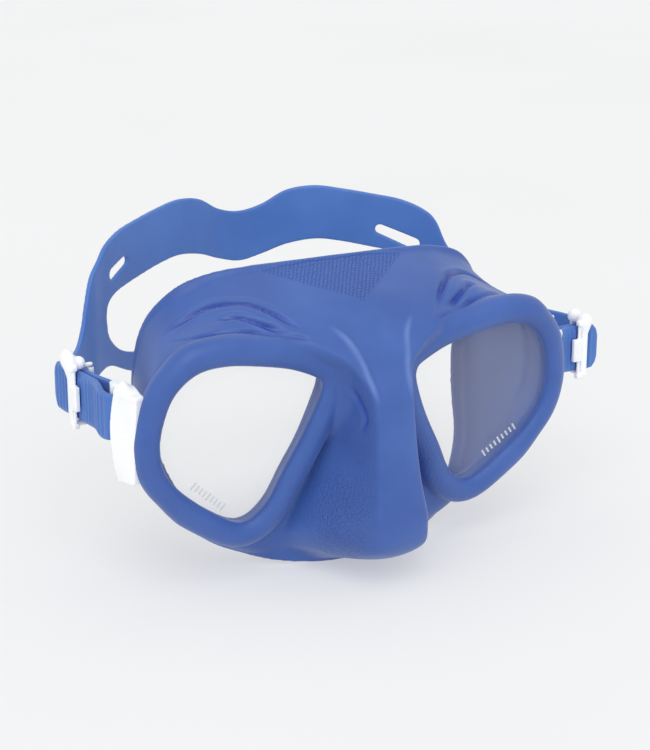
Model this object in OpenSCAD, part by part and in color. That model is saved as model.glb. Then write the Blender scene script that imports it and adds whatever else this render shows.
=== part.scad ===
// Two-window diving mask with a soft skirt, rigid lens rings, side lugs and a split head strap.
// X runs to the right as seen from the front, Y runs back towards the wearer, Z is up.
// The origin lies on the wearer's face, between the eyes.

/* [Lenses] */
// Distance from the face to the lens plane at the nose bridge
lens_depth = 25; // [22:1:28]
// Backward lean of the lens plane, in degrees
lens_lean = 7.4; // [5:0.2:9]
// Sweep of each lens towards the temple, in degrees
lens_sweep = 2; // [0:0.5:3]
// Thickness of the tempered glass
glass_t = 3.6; // [3:0.2:4]
// Overlap of the glass behind the edge of its opening
glass_lap = 2; // [1.8:0.1:2.2]

/* [Skirt] */
// Radius of the soft rim round each lens
rim_r = 5.2; // [5:0.1:5.6]
// Wall thickness of the skirt
skirt_t = 3; // [2.5:0.25:3.5]
// Wall thickness of the nose pocket
nose_t = 2.4; // [2:0.2:3]

/* [Strap] */
// Height of the ribbed strap ends
strap_h = 17; // [15:1:18]
// Thickness of the strap
strap_t = 1.9; // [1.8:0.05:2]
// Distance between two ribs
rib_pitch = 2.2; // [2:0.1:3]
// Distance from the left lug post to the left slider
left_reach = 24; // [23.5:0.5:24]
// Distance from the right lug post to the right slider
right_reach = 13.5; // [13:0.25:13.5]
// Loose tail past the left slider
left_tail = 16; // [12:0.5:17]
// Loose tail past the right slider
right_tail = 7.5; // [6.5:0.5:8]

/* [Lugs and sliders] */
// Radius of the post inside each lug
post_r = 2; // [1.8:0.1:2]
// Thickness of the slider's upper end
cap_top = 4.4; // [4:0.2:5]
// Thickness of the slider's lower end
cap_low = 2.2; // [2:0.1:2.6]
// Radius of the roller
roller_r = 1.1; // [1.05:0.05:1.15]
// Radial clearance of the turning pieces
run_gap = 0.06; // [0.04:0.01:0.1]

/* [Hidden] */
$fn = 48;
blue = [0.22, 0.33, 0.62];
strap_blue = [0.26, 0.4, 0.7];
white = [0.95, 0.95, 0.96];

// Opening of the right lens, x and z, anticlockwise from the temple
opening = [[74, 8], [73, 17], [69.5, 26.5], [62.5, 32.5], [53, 33.8], [41, 32], [29, 30],
    [20.8, 25], [19, 15.5], [24, 4.5], [30, -7.5], [36.5, -18], [45.5, -22.8], [56, -17],
    [66, -9], [72, -1]];

// Right half of the skirt's wall, from the brow centre clockwise to the upper lip:
// x, depth behind the lens plane, z of the shoulder, the belly and the sealing lip
shoulder = [[0, -2, 46.5], [15, -1, 45.5], [30, 0, 44.5], [45, 1, 44.5], [60, 3, 41],
    [71, 5, 34], [76.5, 6, 24], [78, 7, 12], [76.5, 8, 0], [71, 8, -10], [62, 8, -19],
    [53, 8, -26.5], [44, 7, -31.5], [32, 4, -36], [17, -4, -37.5], [0, -12, -38]];
belly = [[0, 12, 52.5], [15, 13, 52], [29, 14, 51.5], [43, 15, 49.5], [56, 17, 43.5],
    [66, 20, 38], [70, 25, 28], [72, 28, 12], [71, 28, -2], [67, 25, -14], [60, 20, -24],
    [51, 15, -31.5], [41, 12, -38], [28, 10, -43], [14, 5, -44.5], [0, 0, -43]];
lip = [[0, 26, 57.5], [15, 26, 57.5], [30, 27.5, 57], [43, 30, 55.5], [54, 31.5, 49],
    [62, 36, 39], [64, 45, 28], [62, 51, 12], [62, 48, -6], [60, 42, -19], [55, 33, -29],
    [47, 24, -36], [38, 18, -40], [27, 13, -43.5], [13, 10, -45.5], [0, 9, -46]];

// Nose pocket, from the brow to the upper lip: z, depth of the ridge, half width
nose = [[47, -1, 8], [37, -9.5, 11], [28, -15, 12], [20, -20, 13], [10, -22.5, 15], [0, -24, 18],
    [-11, -25.5, 23], [-22, -27, 27], [-31, -25.5, 29], [-37, -19, 27], [-41, -8, 22]];
nose_mid = 3;
nose_half = 44;

// The two shallow grooves over each eye: x, depth behind the lens plane, z
groove_top = [[30, 5, 48.8], [37, 8, 50.5], [45, 11, 50], [52, 14, 47.5], [58, 16, 44.5]];
groove_low = [[35, 2, 47.3], [42, 4, 48], [50, 6, 46.8], [56, 8, 44.5]];

// Head strap seen from above: x, depth behind the lens plane, z of the lower and the upper edge
strap_upper = [[-71.5, 64.5, 31, 47], [-68, 67.5, 33, 55.5], [-64, 70.5, 33.5, 59],
    [-57, 75.5, 36.5, 62.5], [-48, 81, 42, 64.5], [-38, 86, 45.5, 66.5], [-28, 90, 48, 68],
    [-18, 94, 46.5, 66.5], [-9, 97, 42.5, 61.5], [0, 98.3, 40.5, 59.5], [9, 97, 42.5, 61.5],
    [18, 94, 46.5, 66.5], [28, 90, 48, 68], [38, 86, 45.5, 66.5], [48, 81, 42, 64.5],
    [57, 75.5, 36.5, 62.5], [64, 70.5, 33.5, 58], [68, 67.5, 33, 52], [71.5, 64.5, 31, 45]];
strap_lower = [[-71.5, 64.5, 17.5, 33], [-64, 70.5, 15.5, 29.5], [-53, 78.5, 10, 20], [-38, 86, 5, 14.5],
    [-20, 93.5, 2, 11], [0, 98, 1, 10], [20, 93.5, 2, 11], [38, 86, 5, 14.5], [53, 78.5, 10, 20],
    [64, 70.5, 15.5, 29.5], [71.5, 64.5, 17.5, 33]];
strap_side_left = [[-85.75, 42.65, 9.5, 26.5], [-86, 47, 9.5, 26.5], [-84.4, 52, 10, 28], [-80, 58.2, 13, 32],
    [-75.5, 62, 16, 38.5], [-71.5, 64.5, 17.5, 47]];
strap_side_right = [[101.8, 15.4, 6.5, 23.5], [103.9, 18, 6.3, 23.4], [104.2, 22.5, 6, 23.2],
    [102, 31, 6, 23], [97, 39.5, 6.8, 24], [90, 47.5, 9, 27], [83, 54.5, 11.5, 31.5],
    [77, 59.7, 15, 37.5], [71.5, 64.5, 17.5, 45]];

post_x = 83.5;
post_y = 14;
slot_z = 16.1;
slot_h = 21.6;
strap_z = [18, 15];
left_turn = 83;
right_turn = 0;
// Lug seen from above: cover plate and foot, foot alone, and the arms that hold the post
lug_cover = [[79.2, 0.6], [82.2, -0.6], [83.4, 0.6], [86, 4.6], [88, 8.6], [87.2, 9.1], [84.8, 6],
    [82, 3.8], [81.2, 8], [79.4, 9.2]];
lug_arm = [[79.2, 1], [82.4, -0.2], [85.6, 4.6], [87.6, 8.6], [86.3, 14], [83.5, 16.8], [80.9, 14.4],
    [79.4, 9]];
lug_low = -4;
lug_top = 30;
rib_h = 0.45;
bend_w = post_r + 0.2 + strap_t / 2;
leg_w = 1.25;
grip_w = leg_w + strap_t / 2;
straight = 7;
cap_z = strap_h / 2 + 0.4;
pin_r = 0.6;
bar_v = -(grip_w + rib_h + 0.25 + 1);
roller_v = grip_w + 0.3 + roller_r;
pawl_u = -2.3;
glass_y = 2;
ring_y = glass_y + glass_t + 1;
ring_lap = glass_lap + 2.2;

// A closed or open smooth curve through the listed points, with n steps between two of them
function at(p, i, closed) = closed ? p[(i + len(p)) % len(p)] : p[min(max(i, 0), len(p) - 1)];
function blend4(a, b, c, d, t) = 0.5 * ((2 * b) + (c - a) * t + (2 * a - 5 * b + 4 * c - d) * t * t
    + (3 * b - a - 3 * c + d) * t * t * t);
function smooth(p, n, closed) = [for (i = [0 : len(p) - (closed ? 1 : 2)], k = [0 : n - 1])
    blend4(at(p, i - 1, closed), at(p, i, closed), at(p, i + 1, closed), at(p, i + 2, closed), k / n),
    if (!closed) p[len(p) - 1]];

// The same closed x, z outline moved outwards by d
function unit2(v) = v / norm(v);
function outward(p, i) = let (t = unit2(at(p, i + 1, true) - at(p, i - 1, true))) [t[1], -t[0]];
function grown(p, d) = [for (i = [0 : len(p) - 1]) p[i] + d * outward(p, i)];

window = smooth(opening, 3, true);

// A ring of the wall, right half then left half, in the part's own frame
function both(h) = concat(h, [for (i = [len(h) - 2 : -1 : 1]) [-h[i][0], h[i][1], h[i][2]]]);
function placed(ring) = [for (p = ring) [p[0], p[1] - lens_depth, p[2]]];
function ring_out(ring, i, d) = let (a = at(ring, i - 1, true), b = at(ring, i + 1, true),
    t = unit2([b[0] - a[0], b[2] - a[2]])) ring[i] + d * [-t[1], 0, t[0]];
function moved_ring(ring, d, dy) = [for (i = [0 : len(ring) - 1]) ring_out(ring, i, d) + [0, dy, 0]];
function wall_ring(h, d, dy) = moved_ring(smooth(placed(both(h)), 2, true), d, dy);

// A closed solid lofted through rings that all have the same number of points
module loft(rings) {
    n = len(rings[0]);
    m = len(rings);
    first = centre(rings[0]);
    last = centre(rings[m - 1]);
    points = concat([for (r = rings, p = r) p], [first, last]);
    sides = [for (j = [0 : m - 2], i = [0 : n - 1]) each
        [[j * n + i, j * n + (i + 1) % n, (j + 1) * n + i],
        [j * n + (i + 1) % n, (j + 1) * n + (i + 1) % n, (j + 1) * n + i]]];
    ends = [for (i = [0 : n - 1]) each
        [[m * n, (i + 1) % n, i],
        [m * n + 1, (m - 1) * n + i, (m - 1) * n + (i + 1) % n]]];
    polyhedron(points, concat(sides, ends), convexity = 8);
}
function centre(ring) = [for (k = [0 : 2]) sum([for (p = ring) p[k]]) / len(ring)];
function sum(v, i = 0) = i < len(v) ? v[i] + sum(v, i + 1) : 0;

// Places what is drawn in a lens's own plane: x, z as in the outline, y behind the plane
module in_lens(side) {
    mirror([side < 0 ? 1 : 0, 0, 0])
        translate([0, -lens_depth, 0])
            rotate([lens_lean, 0, lens_sweep])
                children();
}
module slab(outline, y_from, y_to) {
    translate([0, y_to, 0])
        rotate([90, 0, 0])
            linear_extrude(y_to - y_from) polygon(outline);
}

// Places what is drawn beside a lug post: x along the strap, y towards the head, z from the strap's middle
module at_post(side, turn) {
    mirror([side < 0 ? 1 : 0, 0, 0])
        translate([post_x, post_y - lens_depth, strap_z[side < 0 ? 0 : 1]])
            rotate([0, 0, turn])
                children();
}

/* Skirt */
module rim(side) {
    path = grown(window, rim_r - 0.6);
    steps = 10;
    in_lens(side) torus_rim(path, steps);
}
module torus_rim(path, steps) {
    n = len(path);
    points = [for (i = [0 : n - 1], k = [0 : steps - 1])
        let (o = outward(path, i), c = rim_r * cos(360 * k / steps), s = rim_r * sin(360 * k / steps))
        [path[i][0] + c * o[0], 2 + s, path[i][1] + c * o[1]]];
    faces = [for (i = [0 : n - 1], k = [0 : steps - 1]) each
        [[i * steps + k, ((i + 1) % n) * steps + k, i * steps + (k + 1) % steps],
        [((i + 1) % n) * steps + k, ((i + 1) % n) * steps + (k + 1) % steps, i * steps + (k + 1) % steps]]];
    polyhedron(points, faces, convexity = 8);
}
function nose_ring(s, d, back) = let (n = 12, w = s[2] - d, f = s[1] + d, base = 6,
    z = nose_mid + (s[0] - nose_mid) * (1 - d / nose_half))
    concat([for (k = [0 : n]) let (a = -90 + 180 * k / n, c = sign(sin(a)) * pow(abs(sin(a)), 1.5))
        [w * c, f + (base - f) * (1 - cos(a)) - lens_depth, z]],
        [[w, back - lens_depth, z], [-w, back - lens_depth, z]]);
module nose_solid(d, back) {
    rows = smooth(nose, 2, false);
    loft([for (s = rows) nose_ring(s, d, back)]);
}
module groove(side, route, r) {
    for (i = [0 : len(route) - 2])
        hull() {
            translate([side * route[i][0], route[i][1] - lens_depth, route[i][2]]) sphere(r, $fn = 10);
            translate([side * route[i + 1][0], route[i + 1][1] - lens_depth, route[i + 1][2]])
                sphere(r, $fn = 10);
        }
}
module skirt() {
    color(blue)
        difference() {
            union() {
                loft([wall_ring(lip, 0, 0), wall_ring(belly, 0, 0), wall_ring(shoulder, 0, 3),
                    wall_ring(shoulder, 0, -1)]);
                rim(1);
                rim(-1);
                nose_solid(0, 12);
            }
            loft([wall_ring(lip, -1.6, 8), wall_ring(lip, -1.6, 0.5), wall_ring(belly, -skirt_t, 0),
                wall_ring(shoulder, -skirt_t - 0.5, 5.5)]);
            nose_solid(nose_t, 30);
            for (side = [-1, 1]) {
                in_lens(side) slab(window, -30, 13);
                in_lens(side) slab(grown(window, ring_lap + 0.05), glass_y - 0.05, ring_y + 0.05);
                groove(side, groove_top, 1.1);
                groove(side, groove_low, 1.1);
                lug_room(side);
            }
        }
}

/* Lenses and their rings */
module lens(side) {
    color([0.85, 0.9, 0.92, 0.35]) in_lens(side) slab(grown(window, glass_lap), glass_y, glass_y + glass_t);
}
module lens_ring(side) {
    color([0.15, 0.2, 0.4])
        in_lens(side)
            difference() {
                slab(grown(window, ring_lap), glass_y, ring_y);
                slab(grown(window, glass_lap + 0.05), glass_y - 1, glass_y + glass_t + 0.05);
                slab(grown(window, 0.3), glass_y - 1, ring_y + 1);
            }
}

/* Lugs */
module in_plan(side, z_from, z_to) {
    mirror([side < 0 ? 1 : 0, 0, 0])
        translate([0, -lens_depth, z_from])
            linear_extrude(z_to - z_from)
                children();
}
module lug(side) {
    slot_low = slot_z - slot_h / 2;
    slot_top = slot_z + slot_h / 2;
    color(white)
        difference() {
            union() {
                in_plan(side, lug_low, lug_top) polygon(lug_cover);
                in_plan(side, lug_low, slot_low) polygon(lug_arm);
                in_plan(side, slot_top, lug_top) polygon(lug_arm);
            }
            in_plan(side, slot_low - 1.5, slot_top + 1.5) translate([post_x, post_y]) circle(post_r);
        }
}
module lug_room(side) {
    in_plan(side, lug_low - 0.2, lug_top + 0.2)
        polygon([[79, -1.2], [82.6, -1.2], [90, 10], [90, 20], [79, 20]]);
}
module lug_post(side) {
    color(white)
        in_plan(side, slot_z - slot_h / 2 - 1.5, slot_z + slot_h / 2 + 1.5)
            translate([post_x, post_y]) circle(post_r);
}

/* Strap */
module slice(s) {
    translate([s[0], s[1] - lens_depth, (s[2] + s[3]) / 2])
        cylinder(h = s[3] - s[2], r = strap_t / 2, center = true, $fn = 8);
}
module band(stations) {
    for (i = [0 : len(stations) - 2])
        hull() {
            slice(stations[i]);
            slice(stations[i + 1]);
        }
}
module slot(side) {
    hull() {
        translate([side * 51, 79.5 - lens_depth, 50.5]) rotate([90, 0, side * 35])
            cylinder(h = 12, r = 2, center = true, $fn = 16);
        translate([side * 61.5, 72.5 - lens_depth, 45.5]) rotate([90, 0, side * 35])
            cylinder(h = 12, r = 2.6, center = true, $fn = 16);
    }
}
module strap_back() {
    color(strap_blue)
        difference() {
            union() {
                band(strap_upper);
                band(strap_lower);
                band(strap_side_left);
                band(strap_side_right);
            }
            slot(1);
            slot(-1);
        }
}
// The doubled, ribbed end that runs from the slider round the lug post and back
module strap_loop(side, turn, reach, tail) {
    color(strap_blue)
        at_post(side, turn)
            translate([0, 0, -strap_h / 2])
                linear_extrude(strap_h) loop_outline(reach, tail);
}
module loop_outline(reach, tail) {
    difference() {
        circle(bend_w + strap_t / 2);
        circle(bend_w - strap_t / 2);
        translate([0, -10]) square([20, 20]);
    }
    leg(1, reach, reach + 3);
    leg(-1, reach, reach + tail);
    for (u = [1.5 : rib_pitch : reach + tail - 1.5])
        translate([u, -leg_v(u, reach) - strap_t / 2 - rib_h]) square([rib_pitch * 0.55, rib_h + 0.3]);
}
// The two layers are wide apart at the post and close together through the slider
function leg_v(u, reach) = let (t = min(max((u - 1) / (reach - straight), 0), 1))
    bend_w + (leg_w - bend_w) * t * t * (3 - 2 * t);
module leg(side, reach, length) {
    run = [for (u = [0 : reach / 12 : reach]) u, length];
    polygon(concat([for (u = run) [u, side * leg_v(u, reach) - strap_t / 2]],
        [for (i = [len(run) - 1 : -1 : 0]) [run[i], side * leg_v(run[i], reach) + strap_t / 2]]));
}

/* Sliders */
module cap(z, h) {
    translate([0, 0, z])
        hull() {
            translate([0.4, bar_v, 0]) cylinder(h = h, r = 2.1, center = true, $fn = 32);
            translate([0, roller_v, 0]) cylinder(h = h, r = 1.5, center = true, $fn = 32);
            translate([pawl_u, bar_v, 0]) cylinder(h = h, r = 1.3, center = true, $fn = 32);
        }
}
module at_slider(side, turn, reach) {
    at_post(side, turn) translate([reach, 0, 0]) children();
}
module slider_frame(side, turn, reach) {
    color(white)
        at_slider(side, turn, reach)
            difference() {
                union() {
                    cap(cap_z + cap_top / 2, cap_top);
                    cap(-cap_z - cap_low / 2, cap_low);
                    translate([0.9, bar_v, 0]) cube([2.6, 2, 2 * cap_z + 1], center = true);
                }
                translate([0, roller_v, 0]) cylinder(h = 2 * cap_z + 2.4, r = pin_r, center = true);
                translate([pawl_u, bar_v, 0]) cylinder(h = 2 * cap_z + 2.4, r = pin_r + run_gap, center = true);
            }
}
module slider_pin(side, turn, reach) {
    color("silver")
        at_slider(side, turn, reach)
            translate([0, roller_v, 0]) cylinder(h = 2 * cap_z + 2.4, r = pin_r, center = true);
}
module slider_roller(side, turn, reach) {
    color(white)
        at_slider(side, turn, reach)
            translate([0, roller_v, 0])
                difference() {
                    cylinder(h = 2 * cap_z - 0.4, r = roller_r, center = true);
                    cylinder(h = 2 * cap_z, r = pin_r + run_gap, center = true);
                }
}
module slider_pawl(side, turn, reach) {
    color(white)
        at_slider(side, turn, reach)
            translate([pawl_u, bar_v, 0]) {
                cylinder(h = 2 * cap_z + 1.6, r = pin_r, center = true);
                cylinder(h = 8.4, r = 1.15, center = true);
                translate([-1.5, -0.2, 0]) cube([2.6, 1.6, 8.4], center = true);
            }
}

skirt();
lens(-1);  // lens_left
lens(1);  // lens_right
lens_ring(-1);  // lens_ring_left
lens_ring(1);  // lens_ring_right
lug(-1);  // lug_left
lug(1);  // lug_right
lug_post(-1);  // lug_post_left
lug_post(1);  // lug_post_right
strap_back();
strap_loop(-1, left_turn, left_reach, left_tail);  // strap_loop_left
strap_loop(1, right_turn, right_reach, right_tail);  // strap_loop_right
slider_frame(-1, left_turn, left_reach);  // slider_frame_left
slider_frame(1, right_turn, right_reach);  // slider_frame_right
slider_pin(-1, left_turn, left_reach);  // slider_pin_left
slider_pin(1, right_turn, right_reach);  // slider_pin_right
slider_roller(-1, left_turn, left_reach);  // slider_roller_left
slider_roller(1, right_turn, right_reach);  // slider_roller_right
slider_pawl(-1, left_turn, left_reach);  // slider_pawl_left
slider_pawl(1, right_turn, right_reach);  // slider_pawl_right
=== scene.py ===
"""Looks for the two-window diving mask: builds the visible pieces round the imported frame."""
import math

import bmesh
import bpy
import numpy as np
from mathutils import Matrix, Vector


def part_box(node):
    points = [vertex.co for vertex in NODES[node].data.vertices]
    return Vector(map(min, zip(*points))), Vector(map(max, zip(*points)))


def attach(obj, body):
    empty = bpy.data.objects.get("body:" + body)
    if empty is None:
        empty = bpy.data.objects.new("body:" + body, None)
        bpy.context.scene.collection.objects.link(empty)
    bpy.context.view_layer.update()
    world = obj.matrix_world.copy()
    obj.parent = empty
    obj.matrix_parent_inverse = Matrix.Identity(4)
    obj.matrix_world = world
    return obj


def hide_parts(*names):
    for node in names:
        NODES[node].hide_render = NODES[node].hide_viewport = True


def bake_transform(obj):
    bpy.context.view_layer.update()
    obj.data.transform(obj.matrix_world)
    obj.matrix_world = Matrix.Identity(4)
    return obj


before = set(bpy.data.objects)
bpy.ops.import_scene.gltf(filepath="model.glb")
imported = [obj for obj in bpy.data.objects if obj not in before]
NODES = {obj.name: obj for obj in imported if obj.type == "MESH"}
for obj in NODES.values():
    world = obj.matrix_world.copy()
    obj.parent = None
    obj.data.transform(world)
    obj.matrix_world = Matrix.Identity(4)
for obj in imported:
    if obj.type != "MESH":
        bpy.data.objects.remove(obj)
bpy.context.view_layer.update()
FACE_TO_LENS = 25.0                     # mm from the wearer's face to the lens plane


def cell(full, quick):
    return full


SKIRT_CELL, LUG_CELL, PAWL_CELL = cell(0.72, 1.35), cell(0.3, 0.5), cell(0.2, 0.4)
PIN_CELL, ROLLER_CELL = cell(0.13, 0.3), cell(0.16, 0.4)


# ---------------------------------------------------------------- camera
EYE = Vector((-0.2776, -0.5182, 0.2008))    # m: in front of the mask, to its left and above it
RIGHT, BACK = Vector((0.883, -0.4695, 0.0)), Vector((-0.4477, -0.842, 0.3009))
SENSOR, FOCAL, NEAREST = 36.0, 98.27, 0.01  # mm, mm, m


def make_camera():
    """The camera at EYE, looking against BACK, level with RIGHT."""
    right, back = RIGHT.normalized(), BACK.normalized()
    up = back.cross(right)
    data = bpy.data.cameras.new("camera")
    data.sensor_fit = "HORIZONTAL"
    data.sensor_width = SENSOR
    data.lens = FOCAL
    data.clip_start = NEAREST
    camera = bpy.data.objects.new("camera", data)
    axes = Matrix((right, up, back)).transposed().to_4x4()
    camera.matrix_world = Matrix.Translation(EYE) @ axes
    bpy.context.scene.collection.objects.link(camera)
    bpy.context.scene.camera = camera


make_camera()


# ---------------------------------------------------------------- curves
def smooth(points, n=6, closed=False):
    """A Catmull-Rom curve through the points, n steps between two of them."""
    p = np.array(points, float)
    m = len(p)
    ids = np.arange(m if closed else m - 1)
    pick = (lambda i: p[i % m]) if closed else (lambda i: p[np.clip(i, 0, m - 1)])
    a, b, c, d = pick(ids - 1), pick(ids), pick(ids + 1), pick(ids + 2)
    out = []
    for t in np.arange(n) / n:
        out.append(0.5 * (2 * b + (c - a) * t + (2 * a - 5 * b + 4 * c - d) * t ** 2
                          + (3 * b - a - 3 * c + d) * t ** 3))
    curve = np.stack(out, 1).reshape(-1, p.shape[1])
    return curve if closed else np.vstack([curve, p[-1]])


def step(t, low=0.0, high=1.0):
    """0 below low, 1 above high, and smooth in between."""
    t = np.clip((t - low) / (high - low), 0, 1)
    return t * t * (3 - 2 * t)


def join(a, b, k):
    """Smooth union of two fields, rounded over k."""
    h = np.clip(0.5 + 0.5 * (b - a) / k, 0, 1)
    return b * (1 - h) + a * h - k * h * (1 - h)


def meet(a, b, k):
    """Smooth intersection of two fields, rounded over k."""
    return -join(-a, -b, k)


def rounded(flat, across, edge):
    """A solid of an outline's field and a field along its height, with rounded edges."""
    q1, q2 = flat + edge, across + edge
    return np.minimum(np.maximum(q1, q2), 0) + np.hypot(np.maximum(q1, 0), np.maximum(q2, 0)) - edge


def outline_distance(x, z, outline):
    """Signed distance from points to a closed outline, negative inside."""
    best = np.full(x.shape, 1e9)
    inside = np.zeros(x.shape, bool)
    for (ax, az), (bx, bz) in zip(outline, np.roll(outline, -1, 0)):
        dx, dz = bx - ax, bz - az
        t = np.clip(((x - ax) * dx + (z - az) * dz) / max(dx * dx + dz * dz, 1e-12), 0, 1)
        best = np.minimum(best, (x - ax - t * dx) ** 2 + (z - az - t * dz) ** 2)
        if abs(dz) > 1e-12:
            inside ^= ((az > z) != (bz > z)) & (x < ax + (z - az) / dz * dx)
    return np.where(inside, -1, 1) * np.sqrt(best)


INSIDE = 1.001      # keeps a place that is read from a table clear of the table's last row


class Table:
    """A table on an even grid of two values, read with straight-line interpolation."""

    def __init__(self, low, cell, values):
        self.low, self.cell, self.values = low, cell, values

    def __call__(self, a, b):
        n, m = self.values.shape
        i = np.clip((a - self.low[0]) / self.cell[0], 0, n - INSIDE)
        j = np.clip((b - self.low[1]) / self.cell[1], 0, m - INSIDE)
        i0, j0 = i.astype(int), j.astype(int)
        i, j, v = i - i0, j - j0, self.values
        return ((v[i0, j0] * (1 - i) + v[i0 + 1, j0] * i) * (1 - j)
                + (v[i0, j0 + 1] * (1 - i) + v[i0 + 1, j0 + 1] * i) * j)


# ---------------------------------------------------------------- meshes
def read(field, at):
    """The field's value at points given in cells."""
    top = np.array(field.shape) - INSIDE
    at = np.clip(at, 0, top)
    low = at.astype(int)
    t = at - low
    total = 0
    for i in (0, 1):
        for j in (0, 1):
            for k in (0, 1):
                share = np.abs((1 - i, 1 - j, 1 - k) - t).prod(1)
                total = total + share * field[low[:, 0] + i, low[:, 1] + j, low[:, 2] + k]
    return total


def skin(field, low, cell, rounds=3):
    """The closed surface where the field is 0: surface nets, then evened out and put back on it."""
    n = np.array(field.shape) - 1
    total, count = np.zeros((*n, 3)), np.zeros(n)
    crossings = []
    for a in range(3):
        b, c = (a + 1) % 3, (a + 2) % 3
        first, second = [slice(None)] * 3, [slice(None)] * 3
        first[a], second[a] = slice(0, -1), slice(1, None)
        f0, f1 = field[tuple(first)], field[tuple(second)]
        cross = (f0 < 0) != (f1 < 0)
        p = np.argwhere(cross)
        ok = (p[:, b] > 0) & (p[:, c] > 0) & (p[:, b] < n[b]) & (p[:, c] < n[c])
        f0, f1, p = f0[cross][ok], f1[cross][ok], p[ok]
        place = p.astype(float)
        place[:, a] += f0 / (f0 - f1)
        around = []
        for db, dc in ((-1, -1), (0, -1), (0, 0), (-1, 0)):
            q = p.copy()
            q[:, b] += db
            q[:, c] += dc
            q = tuple(q.T)
            np.add.at(total, q, place)
            np.add.at(count, q, 1)
            around.append(q)
        crossings.append((f0 < 0, around))
    used = count > 0
    index = np.full(n, -1)
    index[used] = np.arange(used.sum())
    points = total[used] / count[used][:, None]
    faces = []
    for outward, around in crossings:
        quad = np.stack([index[q] for q in around], 1)
        faces.append(np.where(outward[:, None], quad, quad[:, ::-1]))
    faces = np.vstack(faces)
    a, b = faces.ravel(), np.roll(faces, -1, 1).ravel()
    degree = np.bincount(a, minlength=len(points)) + np.bincount(b, minlength=len(points))
    for _ in range(rounds):
        mean = np.zeros_like(points)
        for k in range(3):
            mean[:, k] = (np.bincount(a, points[b, k], len(points))
                          + np.bincount(b, points[a, k], len(points)))
        points = 0.5 * points + 0.5 * mean / degree[:, None]
        for _ in range(2):
            value = read(field, points)
            slope = np.stack([read(field, points + e) - read(field, points - e)
                              for e in 0.5 * np.eye(3)], 1)
            pull = value[:, None] * slope / np.maximum((slope ** 2).sum(1), 1e-4)[:, None]
            size = np.linalg.norm(pull, axis=1, keepdims=True)
            points -= pull * np.minimum(1, 0.5 / np.maximum(size, 1e-9))
    return points * cell + low, faces


def grid(low, high, cell):
    """Three open axes of an even grid."""
    axes = [np.arange(l, h + c, c) for l, h, c in zip(low, high, np.broadcast_to(cell, 3))]
    return axes[0][:, None, None], axes[1][None, :, None], axes[2][None, None, :]


def to_mesh(name, points, faces, material):
    """A Blender object from points in mm: x, depth behind the lens plane, z."""
    place = np.array(points, float)
    place[:, 1] -= FACE_TO_LENS
    place /= 1000
    mesh = bpy.data.meshes.new(name)
    mesh.vertices.add(len(place))
    mesh.vertices.foreach_set("co", place.astype(np.float32).ravel())
    size = faces.shape[1]
    mesh.loops.add(faces.size)
    mesh.loops.foreach_set("vertex_index", faces.astype(np.int32).ravel())
    mesh.polygons.add(len(faces))
    mesh.polygons.foreach_set("loop_start", np.arange(0, faces.size, size, dtype=np.int32))
    mesh.polygons.foreach_set("loop_total", np.full(len(faces), size, np.int32))
    mesh.update(calc_edges=True)
    mesh.validate()
    mesh.polygons.foreach_set("use_smooth", np.ones(len(mesh.polygons), bool))
    mesh.materials.append(material)
    obj = bpy.data.objects.new(name, mesh)
    bpy.context.scene.collection.objects.link(obj)
    return obj


def normals(points, faces):
    """Unit normals at the points of a mesh of quads."""
    p = points[faces]
    face = np.cross(p[:, 2] - p[:, 0], p[:, 3] - p[:, 1])
    out = np.zeros_like(points)
    for k in range(3):
        out[:, k] = sum(np.bincount(faces[:, j], face[:, k], len(points)) for j in range(4))
    return out / np.maximum(np.linalg.norm(out, axis=1, keepdims=True), 1e-12)


# ---------------------------------------------------------------- materials
class Nodes:
    """A material's node tree, with short ways to add to it."""

    def __init__(self, name):
        self.material = bpy.data.materials.new(name)
        self.material.use_nodes = True
        self.tree = self.material.node_tree
        self.shader = self.tree.nodes["Principled BSDF"]
        self.place = self.add("ShaderNodeTexCoord").outputs["Object"]

    def add(self, kind, inputs=None, **settings):
        node = self.tree.nodes.new(kind)
        for key, value in settings.items():
            setattr(node, key, value)
        for key, value in (inputs or {}).items():
            if isinstance(value, bpy.types.NodeSocket):
                self.tree.links.new(value, node.inputs[key])
            else:
                node.inputs[key].default_value = value
        return node

    def noise(self, scale, detail=3.0):
        inputs = {"Vector": self.place, "Scale": scale, "Detail": detail, "Roughness": 0.5}
        return self.add("ShaderNodeTexNoise", inputs).outputs["Fac"]

    def cells(self, scale):
        return self.add("ShaderNodeTexVoronoi", {"Vector": self.place, "Scale": scale},
                        feature="DISTANCE_TO_EDGE").outputs["Distance"]

    def share(self, value, low, high, top=1.0):
        """How far the value is from low to high, 0 to top."""
        inputs = {"Value": value, "From Min": low, "From Max": high, "To Max": top}
        return self.add("ShaderNodeMapRange", inputs).outputs[0]

    def ramp(self, value, *stops):
        """Stops of (place, colour or grey) over the value."""
        node = self.add("ShaderNodeValToRGB", {"Fac": value})
        items = node.color_ramp.elements
        while len(items) < len(stops):
            items.new(0.5)
        for item, (at, colour) in zip(items, stops):
            item.position = at
            item.color = (*colour, 1) if len(colour) == 3 else (colour[0],) * 3 + (1,)
        return node.outputs["Color"]

    def sums(self, operation, a, b):
        return self.add("ShaderNodeMath", {0: a, 1: b}, operation=operation).outputs[0]

    def bump(self, *layers):
        """Layers of (height, strength, distance in m), one on another."""
        normal = None
        for height, strength, distance in layers:
            inputs = {"Height": height, "Strength": strength, "Distance": distance}
            if normal is not None:
                inputs["Normal"] = normal
            normal = self.add("ShaderNodeBump", inputs).outputs["Normal"]
        self.tree.links.new(normal, self.shader.inputs["Normal"])

    def set(self, **values):
        for key, value in values.items():
            socket = self.shader.inputs[key.replace("_", " ")]
            if isinstance(value, bpy.types.NodeSocket):
                self.tree.links.new(value, socket)
            else:
                socket.default_value = value


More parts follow.
